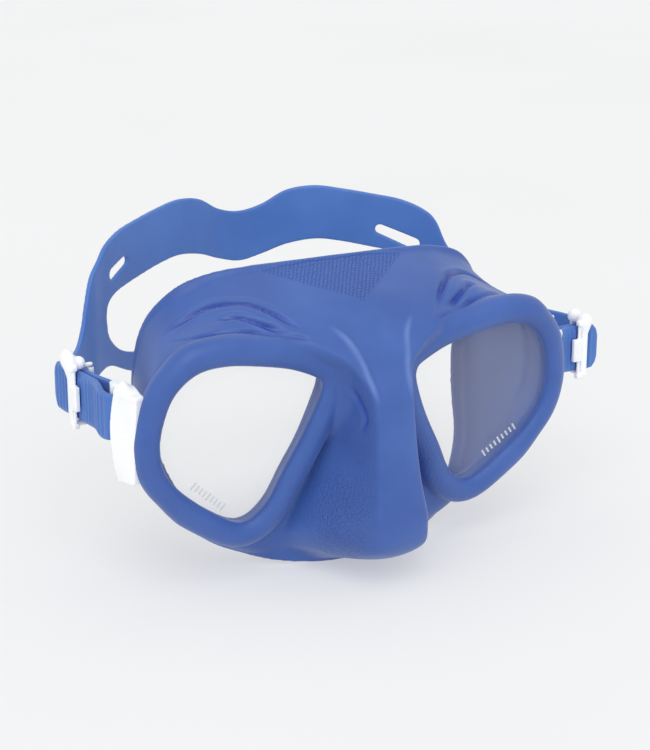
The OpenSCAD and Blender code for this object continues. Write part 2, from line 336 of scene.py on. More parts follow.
def linear(r, g, b):
    """An sRGB colour, 0 to 255, as linear values."""
    return tuple(c / 12.92 if c <= 0.04045 else ((c + 0.055) / 1.055) ** 2.4
                 for c in (r / 255, g / 255, b / 255))


def silicone(name, dark, light, grain):
    """A matt rubber, and its fine relief, which is still to be laid on."""
    m = Nodes(name)
    m.set(Base_Color=m.ramp(m.noise(38, 4), (0.3, dark), (0.72, light)),
          Roughness=m.ramp(m.noise(160, 3), (0.3, (0.40,)), (0.75, (0.52,))))
    m.set(Specular_IOR_Level=0.42, Sheen_Weight=0.15, Sheen_Roughness=0.5)
    return m, [(m.noise(1500, 2), grain, 0.00012), (m.noise(90, 2), 0.12, 0.0006)]


# Painted shade laid in the skirt's grooves and creases, and painted highlight laid on its raised
# ridges
GROOVE_SHADE_BLUE, RIDGE_HIGHLIGHT_BLUE = linear(30, 66, 158), linear(104, 134, 198)


def press(m, relief):
    """Grooves get painted shade, a deeper blue, and are glossier; ridges get a painted highlight, a
    paler blue; the nose has a pebbled grain.
    """
    groove = m.add("ShaderNodeAttribute", attribute_name="groove").outputs["Fac"]
    base = m.shader.inputs["Base Color"].links[0].from_socket
    # First the painted shade in the grooves, then the painted highlight on the ridges
    for low, high, colour in ((0.08, 0.75, GROOVE_SHADE_BLUE), (-0.08, -0.7, RIDGE_HIGHLIGHT_BLUE)):
        mix = m.add("ShaderNodeMix", {"Factor": m.share(groove, low, high)}, data_type="RGBA")
        m.tree.links.new(base, mix.inputs["A"])
        mix.inputs["B"].default_value = (*colour, 1)
        base = mix.outputs["Result"]
    m.tree.links.new(base, m.shader.inputs["Base Color"])
    rough = m.shader.inputs["Roughness"].links[0].from_socket
    smoother = m.sums("SUBTRACT", rough, m.share(groove, 0.05, 0.6, 0.2))
    m.tree.links.new(smoother, m.shader.inputs["Roughness"])
    axes = m.add("ShaderNodeSeparateXYZ", {"Vector": m.place}).outputs
    side = m.share(m.sums("ABSOLUTE", axes["X"], 0.0), 0.006, 0.014)
    low = m.share(axes["Z"], 0.004, -0.012)
    front = m.share(axes["Y"], -0.018, -0.032)
    on_nose = m.sums("MULTIPLY", m.sums("MULTIPLY", side, low), front)
    pebbles = m.sums("MULTIPLY", m.share(m.cells(720), 0.0, 0.3), on_nose)
    m.bump(*relief, (pebbles, 0.7, 0.0003))


SKIRT, skirt_relief = silicone("skirt_silicone", linear(51, 85, 157), linear(63, 99, 172), 0.25)
press(SKIRT, skirt_relief)
STRAP, strap_relief = silicone("strap_silicone", linear(68, 110, 183), linear(81, 124, 197), 0.18)
STRAP.bump(*strap_relief)


def white_plastic():
    m = Nodes("white_plastic")
    dark, light = linear(244, 245, 247), linear(252, 252, 253)
    m.set(Base_Color=m.ramp(m.noise(60, 3), (0.3, dark), (0.7, light)),
          Roughness=m.ramp(m.noise(240, 3), (0.3, (0.26,)), (0.7, (0.36,))))
    m.set(Specular_IOR_Level=0.5, Subsurface_Weight=0.1, Subsurface_Scale=0.004)
    m.bump((m.noise(900, 2), 0.1, 0.0001))
    return m.material


WHITE = white_plastic()


def steel():
    m = Nodes("pin_steel")
    m.set(Base_Color=m.ramp(m.noise(200, 3), (0.3, (0.5, 0.5, 0.52)), (0.7, (0.62, 0.62, 0.64))),
          Roughness=m.ramp(m.noise(900, 2), (0.3, (0.22,)), (0.7, (0.34,))))
    m.set(Metallic=1.0)
    return m.material


STEEL = steel()


# ---------------------------------------------------------------- the skirt
LEAN, SWEEP = math.radians(7.4), math.radians(2.0)     # the lens leans and sweeps back
RIM = 5.2           # mm, radius of the roll round a lens
# The right lens's opening in the lens's own plane: across and up
OPENING = [(74, 8), (73, 17), (69.5, 26.2), (62.5, 32.3), (53, 33.8), (41, 32.2), (29, 29.4),
           (20.6, 25.8), (17.9, 23), (18.6, 17.5), (24, 4.8), (30.2, -7), (36.4, -19), (44.3, -24),
           (55.5, -17.8), (66, -9), (72, -1)]
# Right half of the wall, from the brow round to the upper lip: x, depth, z
SHOULDER = [(0, -2, 46.5), (15, -1, 45.5), (30, 0, 44.5), (45, 1, 44.5), (60, 3, 41), (71, 5, 34),
            (76.5, 6, 24), (78, 7, 12), (76.5, 8, 0), (71, 8, -10), (62, 8, -19), (53, 8, -26.5),
            (44, 7, -31.5), (32, 4, -36), (17, -5, -38.5), (0, -13, -40)]
BELLY = [(0, 12, 52.5), (15, 13, 52), (29, 14, 51.5), (43, 15, 49.5), (56, 17, 43.5), (66, 20, 38),
         (70, 25, 28), (72, 28, 12), (71, 28, -2), (67, 25, -14), (60, 20, -24), (51, 15, -31.5),
         (41, 12, -38), (28, 10, -43), (14, 5, -44.5), (0, 0, -43)]
LIP = [(0, 26, 57.5), (15, 26, 57.5), (30, 27.5, 57), (43, 30, 55.5), (54.8, 31.5, 51.6),
       (63.4, 36, 41.6), (66.3, 40.5, 28), (66, 44, 12), (65.3, 42, -6), (62.3, 35.5, -19),
       (56.5, 29.5, -29), (48, 22.5, -36), (38, 18, -40), (27, 13, -43.5), (13, 10, -45.5),
       (0, 9, -46)]
# Nose from the brow to the upper lip: z, depth of the ridge, half width, and that of its flat band
NOSE = [(60, 8, 62, 50), (52, 2.5, 52, 40), (47, -2, 44, 32), (42, -6, 38, 26), (37, -9.5, 31, 20),
        (33, -12.5, 24, 14.5), (28, -15, 17, 10), (20, -20, 13.5, 7.2), (10, -22.5, 15, 6.6),
        (0, -24, 16, 6.8), (-11, -25.5, 19.6, 7.6), (-22, -27, 24, 9), (-31, -25.5, 27.5, 10),
        (-37, -19, 27, 10), (-41, -8, 22, 9), (-46, 9, 20, 9), (-50, 22, 20, 9)]
HEART = 4.0         # z of the line that the wall's radius is counted from
THICK_WALL, THIN = 2.7, 1.2         # the wall's thickness, and how much thinner it gets by the lip
LIP_WIDE, LIP_NARROWER, LIP_HALF = 9.0, 3.0, 0.65   # the turned lip, and half its thickness
FOREMOST, REARMOST = -40.0, 66.0    # depths between which the wall's radius is tabled


def wall_tables():
    """Radius of the wall over angle and depth, and depth of its lip over angle."""
    rings = []
    for half in (SHOULDER, BELLY, LIP):
        left = [(-x, y, z) for x, y, z in half[-2:0:-1]]
        ring = smooth(half + left, 8, closed=True)
        rings.append(ring[:8 * (len(half) - 1) + 1])
    angles = np.linspace(-90, 90, 181)
    depth, radius = [], []
    for v in np.linspace(0, 1, 21):
        ring = (rings[0] * (1 - v) * (1 - 2 * v) + rings[1] * 4 * v * (1 - v)
                + rings[2] * v * (2 * v - 1))
        turn = np.degrees(np.arctan2(ring[:, 2] - HEART, np.maximum(ring[:, 0], 0)))
        order = np.argsort(turn)
        depth.append(np.interp(angles, turn[order], ring[order, 1]))
        radius.append(np.interp(angles, turn[order],
                                np.hypot(ring[order, 0], ring[order, 2] - HEART)))
    depth, radius = np.array(depth).T, np.array(radius).T
    deep = np.arange(FOREMOST, REARMOST)
    table = []
    for d, r in zip(depth, radius):
        front = (r[2] - r[0]) / (d[2] - d[0])
        rear = (r[-1] - r[-3]) / (d[-1] - d[-3])
        row = np.interp(deep, d, r)
        row += np.minimum(deep - d[0], 0) * front + np.maximum(deep - d[-1], 0) * rear
        table.append(row)
    return Table((-90, FOREMOST), (1, 1), np.array(table)), angles, depth[:, -1], radius[:, -1]


def lens_place(x, y, z):
    """A point in the lens's own plane: across, behind the plane, up."""
    a = x * math.cos(SWEEP) + y * math.sin(SWEEP)
    b = -x * math.sin(SWEEP) + y * math.cos(SWEEP)
    return a, b * math.cos(LEAN) + z * math.sin(LEAN), -b * math.sin(LEAN) + z * math.cos(LEAN)


def front_depth(x, z):
    """Depth of the skirt's front: the rims' plane, with the nose and the brow standing out of it."""
    rows = smooth(NOSE[::-1], 6)
    ridge, half, band = (np.interp(z[0], rows[:, 0], rows[:, k])[None, :] for k in (1, 2, 3))
    plane = 3.2 + 0.035 * x - 0.13 * z          # leans and sweeps back as the lenses do
    t = np.maximum(x - band, 0) / np.maximum(half - band, 3)
    fall = (np.sqrt(t * t + 0.03) - 0.173) / 0.842
    nose = ridge + 0.9 * np.minimum(x / band, 1.5) ** 2 + (7 - ridge) * fall
    return join(nose, plane + 0 * nose, 2.5 + 5 * step(z, 0, 26))


def wall_field(x, y, z):
    """The skirt without its rims: its front, its side walls and the turned lip."""
    wall, angles, lip_depth, lip_radius = wall_tables()
    turn = np.degrees(np.arctan2(z - HEART, np.maximum(x, 0) + 1e-9))[:, 0, :]
    far = np.hypot(x, z - HEART)
    ends = np.interp(turn, angles, lip_depth)[:, None, :]
    edge = np.interp(turn, angles, lip_radius)[:, None, :]
    radius = wall(turn[:, None, :] + 0 * y, y + 0 * far)
    front = front_depth(x[:, 0, :], z[:, 0, :])
    gx, gz = np.gradient(front, x[1, 0, 0] - x[0, 0, 0], z[0, 0, 1] - z[0, 0, 0])
    steep = np.sqrt(1 + gx ** 2 + gz ** 2)
    face = (front[:, None, :] - y) / steep[:, None, :]

    tip = step(-z, 24, 33) * (1 - step(x, 11, 22))       # the nose pocket's lower edge is tighter
    body = meet((far - radius) * 0.93, face, 9.0 - 5.0 * tip)
    thick = THICK_WALL - THIN * step(y - ends, -16, 0)
    shell = np.maximum(body, -(body + thick))
    temple = step(50 - np.abs(turn + 10), 0, 20)[:, None, :]
    wide = LIP_WIDE - LIP_NARROWER * temple
    flange = np.maximum(np.abs(y - ends + 1.2 + 0.12 * (edge - far)) - LIP_HALF,
                        np.maximum(edge - wide - far, far - edge - 0.3))
    shell = join(shell, flange, 2.2)
    return meet(shell, (y - ends) * 0.85, 0.8)


def skirt_field(x, y, z):
    """The skirt as a field in mm, below 0 inside; x is 0 or more."""
    a, b, c = lens_place(x, y, z)
    low, fine = (0, -50), 0.5
    flat = np.meshgrid(np.arange(low[0], 100, fine), np.arange(low[1], 62, fine), indexing="ij")
    off = Table(low, (fine, fine), outline_distance(*flat, smooth(OPENING, 6, closed=True)))(a, c)
    rim = RIM - 0.6 * step(x, 66, 75)
    roll = np.sqrt((off - rim + 0.6) ** 2 + (b - 2) ** 2) - rim     # the rim, rolled round the lens
    merge = 1.5 + 6.5 * step(z, -2, 20) * (1 - step(x, 20, 40))
    solid = join(wall_field(x, y, z), roll, merge)
    flare = np.clip((b + 0.4) * 0.35, 0, 1.7)       # the opening widens a little behind its edge
    hole = np.maximum(off - flare, b - 13)
    return meet(solid, -hole, 0.5)


def make_skirt():
    """The whole skirt's points and faces, from its right half and that half's mirror image."""
    x, y, z = grid((0, -31, -49), (86, 54, 61), SKIRT_CELL)
    half = skirt_field(x, y, z)
    field = np.concatenate([half[:0:-1], half])
    return skin(field, np.array([-x[-1, 0, 0], y[0, 0, 0], z[0, 0, 0]]), SKIRT_CELL)


# Lines on the right half of the skirt: depth (raised if below 0), half width, points. A line's depth
# also sets its painted shade, or its painted highlight where it is raised
LINES = [
    (1.8, 1.1, [(66, 19, 38.5), (58, 20, 43), (49.6, 18.3, 47.5), (42.3, 13.8, 49.3),
                (37.7, 10.8, 49.1), (31.5, 4.2, 46.5), (27.6, -0.7, 43.6), (23.1, -5.2, 40.7)]),
    (1.6, 1.0, [(51.2, 10.6, 44.8), (45.2, 7.8, 46.4), (40.8, 4.4, 45.8), (35.9, 1.4, 43.6),
                (30.4, -2.3, 41.5)]),
    (0.9, 0.75, [(66.7, 17, 37.6), (57, 6.8, 41.9), (42.2, 0.7, 42.5), (27, -4.7, 40.4),
                 (17.9, -8.2, 37.4)]),
    (-0.5, 1.1, [(17.9, -1.3, 43.7), (11.5, -7.3, 38.3), (8.2, -13.5, 30), (6.9, -17.3, 23.7),
                 (5.2, -21, 14.6)]),
    (0.6, 1.3, [(12.3, -7.5, 23.8), (9.3, -11.7, 19.4), (8.6, -15.7, 13.9), (8.9, -15.6, 10.5),
                (9.9, -12.9, 6)])]
LINE_LIPS = 0.15                    # raised lips beside a line, as a share of its depth
SCALE, SCALE_RISE = 1.5, 0.42       # mm between the brow's scales, and their height


def lengths(path):
    """How far along a path each of its points lies."""
    return np.r_[0, np.cumsum(np.linalg.norm(np.diff(path, axis=0), axis=1))]


def along_line(points, line):
    """Distance of points to a line in space, and how far along it they are, 0 to 1."""
    line = smooth(line, 5)
    run = lengths(line)
    best, where = np.full(len(points), 1e9), np.zeros(len(points))
    for a, b, s0, s1 in zip(line, line[1:], run, run[1:]):
        d = b - a
        t = np.clip((points - a) @ d / (d @ d), 0, 1)
        gap = np.linalg.norm(points - a - t[:, None] * d, axis=1)
        closer = gap < best
        best[closer], where[closer] = gap[closer], (s0 + t * (s1 - s0))[closer]
    return best, where / run[-1]


def scales(x, y):
    """Height of the brow's scales, 0 to 1: small rounded cells in staggered rows."""
    u, v = x / SCALE, y / (SCALE * 0.8)
    near, next_one = np.full(x.shape, 9.0), np.full(x.shape, 9.0)
    for j in range(-2, 3):
        row = np.floor(v) + j
        for i in range(-2, 3):
            column = np.floor(u) + i
            jitter = np.sin(column * 12.9 + row * 78.2) * 43.7
            cx = column + 0.5 * (row % 2) + 0.28 * (jitter % 1 - 0.5)
            cy = row + 0.3 * ((jitter * 7.3) % 1 - 0.5)
            gap = np.hypot(u - cx, v - cy)
            next_one = np.minimum(next_one, np.maximum(gap, near))
            near = np.minimum(near, gap)
    return step(next_one - near, 0.02, 0.4)


def scaled_patch(points):
    """1 inside the brow's triangle of scales, 0 outside."""
    x, y, z = points.T
    return step(y - 0.83 * np.abs(x), 0.2, 2.2) * step(25.2 - y, 0, 1.5) * step(z, 43, 45)


def moulded(points, faces):
    """The skirt's points with its grooves, creases and ridges pressed in, and each point's painted
    shade (in grooves) or painted highlight (on ridges and lips).
    """
    outward = normals(points, faces)
    mirrored = points * np.sign(points[:, :1] + 1e-9) ** np.array([[1, 0, 0]])
    front = (outward[:, 1] < 0.35) | (outward[:, 2] > 0.3)
    push, painted_shade_and_highlight = np.zeros(len(points)), np.zeros(len(points))
    for depth, width, line in LINES:
        low, high = np.min(line, 0) - 6, np.max(line, 0) + 6
        near = np.flatnonzero(((mirrored > low) & (mirrored < high)).all(1) & front)
        gap, where = along_line(mirrored[near], line)
        taper = step(where, 0, 0.3) * step(1 - where, 0, 0.3)
        lips = LINE_LIPS * np.exp(-((gap - 2 * width) / (0.8 * width)) ** 2)
        shape = taper * (np.exp(-(gap / width) ** 2) - lips)
        push[near] -= depth * shape
        # Painted shade in a groove and beside a raised line; painted highlight on a raised line and on
        # a groove's lips
        painted_shade_and_highlight[near] += shape * np.clip(depth, -1, 1)
    return points + outward * push[:, None], painted_shade_and_highlight


def roughen(obj):
    """Cuts the brow's triangle finely and raises its scales."""
    mesh = bmesh.new()
    mesh.from_mesh(obj.data)
    mesh.verts.ensure_lookup_table()

    def place(verts):
        return np.array([v.co for v in verts]) * 1000 + (0, FACE_TO_LENS, 0)

    def patch(verts):
        return scaled_patch(place(verts)) * (np.array([v.normal.z for v in verts]) > 0.25)

    inside = patch(mesh.verts) > 0
    edges = [e for e in mesh.edges if inside[e.verts[0].index] and inside[e.verts[1].index]]
    bmesh.ops.subdivide_edges(mesh, edges=edges, cuts=3, use_grid_fill=True)
    mesh.normal_update()
    at, share = place(mesh.verts), patch(mesh.verts)
    height = SCALE_RISE * share * (scales(at[:, 0], at[:, 1]) - 0.5) / 1000
    for vert, h in zip(mesh.verts, height):
        if h:
            vert.co += vert.normal * h
    mesh.to_mesh(obj.data)
    mesh.free()
    obj.data.polygons.foreach_set("use_smooth", np.ones(len(obj.data.polygons), bool))


skirt_points, skirt_faces = make_skirt()
skirt_points, painted_shade_and_highlight = moulded(skirt_points, skirt_faces)
skirt = to_mesh("skirt_moulded", skirt_points, skirt_faces, SKIRT.material)
# Each point's painted shade (above 0) or painted highlight (below 0), read by the skirt's material
groove = skirt.data.attributes.new("groove", "FLOAT", "POINT")
groove.data.foreach_set("value", painted_shade_and_highlight.astype(np.float32))
roughen(skirt)
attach(skirt, "mask")
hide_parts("skirt")


# ---------------------------------------------------------------- the strap
POST = (83.5, 14.0)                     # the lug's post: across, depth
THICK, RIB, PITCH = 1.9, 0.55, 2.3      # the ribbon, and the ribs across its ends
END_WIDE = 17.0                         # width of the ribbed ends
BEND, LAID = 3.15, 1.25     # how far a layer is from the loop's middle: at the post, and laid flat
PAST = 2.2                  # the loop goes on this far past the slider
STEP = 0.25                 # between the points of the ribbon's path
EDGE = 0.55                 # roundness of the ribbon's edges
TIP_ROOM = 0.2              # the ribbon ends this far before its path does
SLOT_HALF, SLOT_GROWS = 1.75, 0.4       # half width of the slot at its start, and its gain
# For each side: which way it points, the loop's turn in degrees, the slider's distance from the
# post, the tail past it, the strap's lower edge, how far the lug is tucked in, the slider's lobes
# (centre and radii), the slot's ends, and the ribbon's side (across, depth, z of both its edges)
SIDES = {
    "left": {"sign": -1, "turn": 83.0, "reach": 24.0, "tail": 16.0, "low": 9.5, "tuck": 0.0,
             "lobes": (((2.0, -3.8, 12.0), (3.7, 2.1, 3.5)), ((-0.3, -0.7, 11.0), (2.0, 1.8, 2.2))),
             "slot": ((55, 51.2), (61.2, 48.2)),
             "side": [(85.75, 42.65, 9.5, 26.5), (86, 47, 9.5, 26.5), (84.4, 52, 9.5, 26.6),
                      (80, 58.2, 10, 27.6), (77, 60.9, 11, 33.5), (75.5, 62, 12, 39.5),
                      (73.4, 63.3, 13, 47), (71.5, 64.5, 14, 51)]},
    "right": {"sign": 1, "turn": 0.0, "reach": 13.5, "tail": 7.5, "low": 6.5, "tuck": 4.6,
              "lobes": (((0.2, -3.4, 10.6), (2.1, 1.8, 2.1)), ((-0.2, 2.5, 11.3), (2.5, 2.3, 2.5))),
              "slot": ((50.5, 51.0), (61.5, 45.5)),
              "side": [(101.8, 15.4, 6.5, 23.5), (103.9, 18, 6.3, 23.4), (104.2, 22.5, 6, 23.2),
                       (102, 31, 6, 23), (97, 39.5, 6.8, 24), (90, 47.5, 9, 27),
                       (83, 54.5, 11.5, 31.5), (77, 59.7, 15, 37.5), (71.5, 64.5, 17.5, 45)]},
}
# Half of the head strap from its side to the middle of the back: across, depth, z of its top edge;
# then across and z of its bottom edge, and of the gap between its two bands
UPPER = [(68, 67.5, 54.5), (64, 70.5, 59), (57, 75.5, 62.5), (48, 81, 64.5), (38, 86, 66.5),
         (28, 90, 68), (18, 94, 66.5), (9, 96.8, 61.5), (0, 97.8, 59.5)]
LOWER = [(64, 15.5), (53, 10), (38, 5), (20, 2), (0, 1)]
GAP = [(0, 40.5), (9, 42.5), (18, 45.8), (28, 47.5), (37, 46.4), (47, 44.2), (53, 42.9),
       (59.7, 41.2), (63.6, 38.8), (65, 35.5), (65.1, 31.5), (64.4, 27), (62.2, 23.3), (58.2, 19.6),
       (51.6, 16.8), (38, 14), (20, 11), (0, 10)]


def from_post(s, u, v):
    """Across and depth of points u along the loop from the post and v to its head side."""
    turn = math.radians(s["turn"])
    x = POST[0] + u * math.cos(turn) - v * math.sin(turn)
    return x, POST[1] + u * math.sin(turn) + v * math.cos(turn)


def strap_path(s):
    """The ribbon's middle line, from the back of the head round the post to the tail.

    Its back as a curve, how far along each point of the tables lies, its length, its evenly spaced
    points, and the way out of it at each of them.
    """
    reach = s["reach"]
    back = np.array([(x, y) for x, y, *_ in UPPER[::-1] + s["side"][::-1]])
    mirrored = np.vstack([(-back[1, 0], back[1, 1]), back])
    curve = smooth(mirrored, 24)[24:]
    inner = np.linspace(reach + PAST, 0, 60)
    bend = np.radians(np.linspace(90, 270, 30))[1:-1]
    outer = np.linspace(0, reach + s["tail"], 90)
    wide = 4.1 if reach > 20 else 3.3       # the outer layer stands out more from a longer loop
    t = np.clip((inner - 1) / (reach - 7), 0, 1)
    apart = BEND + (LAID - BEND) * t * t * (3 - 2 * t)
    spread = LAID + (wide - LAID) * (1 - step(outer, 1, min(13, reach - 6)))
    around = BEND * np.cos(bend), (BEND + wide) / 2 * np.sin(bend) + (BEND - wide) / 2
    loop = [np.stack(from_post(s, u, v), 1) for u, v in ((inner, apart), around, (outer, -spread))]
    path = np.vstack([curve, *loop])
    run = lengths(path)
    path = np.stack([np.interp(np.arange(0, run[-1], STEP), run, path[:, k]) for k in (0, 1)], 1)
    pad = np.pad(path, ((6, 6), (0, 0)), mode="reflect", reflect_type="odd")
    path = sum(pad[k:k + len(path)] for k in range(13)) / 13
    along = np.gradient(path, axis=0)
    along /= np.linalg.norm(along, axis=1, keepdims=True)
    out = np.stack([along[:, 1], -along[:, 0]], 1)     # away from the head on the strap's back
    return curve, lengths(curve)[::24], run[-1], path, out


def strap_outlines(s, at, knots, tip):
    """The ribbon's outline, its gap's and its slot's ends, all as distance along it and z."""
    high, start = s["low"] + END_WIDE, knots[-1]
    side_knots, side = knots[len(UPPER):], s["side"][::-1]
    top = [(k, z) for k, (*_, z) in zip(knots, UPPER[::-1])]
    top += [(k, z) for k, (*_, z) in zip(side_knots, side)]
    low = [(at(x), z) for x, z in LOWER[::-1]]
    low += [(k, z) for k, (*_, z, _) in zip(side_knots, side)]
    top, low = (smooth([(-line[1][0], line[1][1])] + line, 8) for line in (top, low))
    lug = start + s["reach"] + PAST + 5       # where the ribbon goes through the lug
    end = [(start + 6, 0), (lug - 12, 0), (lug - 5, 0.8), (lug, 1.4), (lug + 5, 1.2), (lug + 14, 0),
           (tip - 5, 0), (tip - 2.2, 0.3), (tip - 0.7, 2.0), (tip, 4.5), (tip, 12.5),
           (tip - 0.7, 15), (tip - 2.2, 16.7), (tip - 5, 17), (lug + 14, 17), (lug + 5, 16.4),
           (lug, 16.3), (lug - 5, 16.5), (lug - 12, 17), (start + 6, 17)]
    end = [(along, high - down) for along, down in end]
    gap = [(at(x), z) for x, z in GAP]
    gap = smooth([(-gap[1][0], gap[1][1])] + gap + [(-gap[-2][0], gap[-2][1])], 8)
    return np.vstack([top, end, low[::-1]]), gap, [(at(x), z) for x, z in s["slot"]]


def strap_half(side):
    """Half of the strap as one ribbon: made flat with its ribs, then laid along its path."""
    s = SIDES[side]
    curve, knots, length, path, out = strap_path(s)
    run = lengths(curve)

    def at(x):
        """Distance along the ribbon of a place across the back of the head."""
        return float(np.interp(x, curve[:, 0], run))

    start, tip = knots[-1], length - TIP_ROOM
    ribbon, gap, slot = strap_outlines(s, at, knots, tip)
    plain = np.arange(-3.2, start, cell(0.8, 1.2))
    ribbed = np.arange(start, length + 1.2, cell(0.3, 0.5))
    axes = (np.r_[plain, ribbed], np.arange(-1.5, 2.1, cell(0.3, 0.42)),
            np.arange(-1.0, 70.0, cell(0.75, 1.1)))
    a, c = np.meshgrid(axes[0], axes[2], indexing="ij")
    flat = np.maximum(outline_distance(a, c, ribbon), -outline_distance(a, c, gap))
    (slot_a, slot_c), (dx, dz) = slot[0], np.subtract(slot[1], slot[0])
    t = np.clip(((a - slot_a) * dx + (c - slot_c) * dz) / (dx * dx + dz * dz), 0, 1)
    hole = np.hypot(a - slot_a - t * dx, c - slot_c - t * dz) - (SLOT_HALF + SLOT_GROWS * t)
    flat = np.maximum(flat, -hole)[:, None, :]
    loop = start + s["reach"] + PAST        # where the ribs begin, at the post
    rib = 0.5 + 0.5 * np.cos((a - loop - 3) * 2 * math.pi / PITCH)
    rib = RIB * step(rib, 0.25, 0.75) * step(a, loop - 1, loop + 2) * step(tip - 1.5 - a, 0, 1)
    rib *= step(np.abs(c - s["low"] - END_WIDE / 2), 7.6, 6.6)
    n = axes[1][None, :, None]
    across = np.maximum(n - THICK / 2 - rib[:, None, :], -n - THICK / 2)
    points, faces = skin(rounded(flat, across, EDGE), np.zeros(3), 1.0, rounds=2)

    along, offset, height = (np.interp(points[:, k], np.arange(len(axis)), axis)
                             for k, axis in enumerate(axes))
    places = np.arange(len(path))
    x, y, out_x, out_y = (np.interp(along / STEP, places, v) for v in (*path.T, *out.T))
    x = x + out_x * offset + np.minimum(along, 0)
    points = np.stack([s["sign"] * x, y + out_y * offset, height], 1)
    return points, faces[:, ::-1] if s["sign"] > 0 else faces


def cut_at_middle(obj, sign):
    """Cuts a half strap off flat in the middle of the back, where the other half goes on."""
    mesh = bmesh.new()
    mesh.from_mesh(obj.data)
    whole = mesh.verts[:] + mesh.edges[:] + mesh.faces[:]
    cut = bmesh.ops.bisect_plane(mesh, geom=whole, dist=1e-7, plane_co=(0, 0, 0),
                                 plane_no=(-sign, 0, 0), clear_outer=True)
    rim = [e for e in cut["geom_cut"] if isinstance(e, bmesh.types.BMEdge)]
    bmesh.ops.holes_fill(mesh, edges=rim)
    mesh.to_mesh(obj.data)
    mesh.free()
    obj.data.set_sharp_from_angle(angle=math.radians(65))


for side, data in SIDES.items():
    obj = to_mesh("strap_" + side, *strap_half(side), STRAP.material)
    cut_at_middle(obj, data["sign"])
    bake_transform(obj)
    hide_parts("strap_loop_" + side, "strap_back")


# ---------------------------------------------------------------- lugs and sliders
def block(p, centre, half, edge):
    """A box with rounded edges."""
    q = [np.abs(a - c) - h + edge for a, c, h in zip(p, centre, half)]
    out = np.sqrt(sum(np.maximum(a, 0) ** 2 for a in q))
    return out + np.minimum(np.maximum(np.maximum(q[0], q[1]), q[2]), 0) - edge


def egg(p, centre, radii):
    """An ellipsoid, nearly in mm close to its surface."""
    q = [(a - c) / r for a, c, r in zip(p, centre, radii)]
    n = np.sqrt(sum(a * a for a in q))
    m = np.sqrt(sum((a / r) ** 2 for a, r in zip(q, radii)))
    return n * (n - 1) / np.maximum(m, 1e-6)


def rod(p, a, b, r):
    """A round-ended rod from a to b."""
    a, b = np.array(a, float), np.array(b, float)
    d = b - a
    t = np.clip(sum((p[k] - a[k]) * d[k] for k in range(3)) / (d @ d), 0, 1)
    return np.sqrt(sum((p[k] - a[k] - t * d[k]) ** 2 for k in range(3))) - r


# Outlines of the lug from above, across and depth: its cover and the two arms that hold the post
COVER = [(79.2, 0.6), (82.2, -0.6), (83.4, 0.6), (86, 4.6), (88, 8.6), (87.2, 9.1), (84.8, 6),
         (82, 3.8), (81.2, 8), (79.4, 9.2)]
ARM = [(79.2, 1), (82.4, -0.2), (85.6, 4.6), (87.6, 8.6), (86.3, 14), (83.5, 16.8), (80.9, 14.4),
       (79.4, 9)]
SLOT_LOW, SLOT_TOP = 5.3, 26.9      # z of the slot that the strap runs through
PIN, BORE, ROLLER = 0.6, 0.66, 1.1  # radii
ROLLER_V, PAWL_U, PAWL_V = 3.6, -2.3, -3.9      # the pins' places in the slider
ROLLER_ROOM = 1.35                  # what the frame leaves free round the roller
PIN_HALF, ROLLER_HALF, FRAME_HALF = 9.7, 8.7, 8.75      # half heights
CAP = 9.95                          # how far the frame's end caps are from its middle


def lug_field(x, y, z, tuck):
    """The right lug, its outer side drawn in by tuck."""
    x = x + tuck * step(x, 79, 82)
    y = y - 1.5 + 0.13 * (z - 22) * step(y, 12, 4)        # leans back with the lens
    # The outer face is bowed: it stands out most at half height
    bulge = 0.4 + np.where(z > 13, 2.6, 2.4) * ((z - 13) / 17) ** 2
    across = x + bulge * step(x, 82, 86)
    hump = 2.4 * np.exp(-((y - 7.2) / 2.4) ** 2 - ((x - 83.2) / 2.0) ** 2)
    top = 26.1 + 1.3 * step(y, 2, 8) + hump
    flat = outline_distance(across, y + 0 * z, COVER) + 0 * z
    cover = rounded(flat, np.maximum(z - top, -4 - z), 0.6)
    flat = np.maximum(outline_distance(across, y + 0 * z, ARM), y - 14.8)
    under = SLOT_TOP - 1.5 + 1.5 * step(y, 7.5, 9.5)
    upper = rounded(flat, np.maximum(z - top - 0.5, under - z), 0.35)
    lower = rounded(flat, np.maximum(z - SLOT_LOW, -4 - z), 0.9)
    solid = join(join(cover, upper, 1.2), lower, 0.8)
    groove = rod((across, y, z), (85.9, 3.3, -2), (85.9, 3.3, 24), 0.42)
    return meet(solid, -groove, 0.5)


def slider_field(u, v, w, outer, inner):
    """The slider's frame; its two upper lobes are given as a centre and three radii each."""
    p = (u, v, w)
    bar = block(p, (-0.3, PAWL_V, 0), (1.3, 1.0, 9.6), 0.55)
    neck = egg(p, (0.2, PAWL_V, 9.6), (2.2, 1.4, 3.0))
    big, small = join(egg(p, *outer), neck, 1.6), egg(p, *inner)
    bridge = rod(p, (0.2, -3.3, 11), np.array(inner[0]) - (0, 0, 0.3), inner[1][0] * 0.8)
    link = rod(p, (0.2, -3.3, 9.7), (0, ROLLER_V, 9.7), 0.78)
    low = rod(p, (0.4, -3.7, -CAP), (0.3, ROLLER_V, -CAP), 1.05)
    ears = [block(p, (-2.0, PAWL_V, k * CAP), (1.3, 1.1, 0.95), 0.5) for k in (-1, 1)]
    solid = join(join(bar, big, 1.4), join(small, bridge, 1.0), 1.6)
    solid = join(join(solid, link, 0.5), join(low, np.minimum(*ears), 0.8), 0.9)
    room = np.maximum(np.abs(v + 0.05) - 2.75, np.abs(w) - FRAME_HALF)
    roller_room = np.maximum(np.hypot(u, v - ROLLER_V) - ROLLER_ROOM, np.abs(w) - FRAME_HALF)
    return np.maximum(np.maximum(solid, -room), -roller_room)


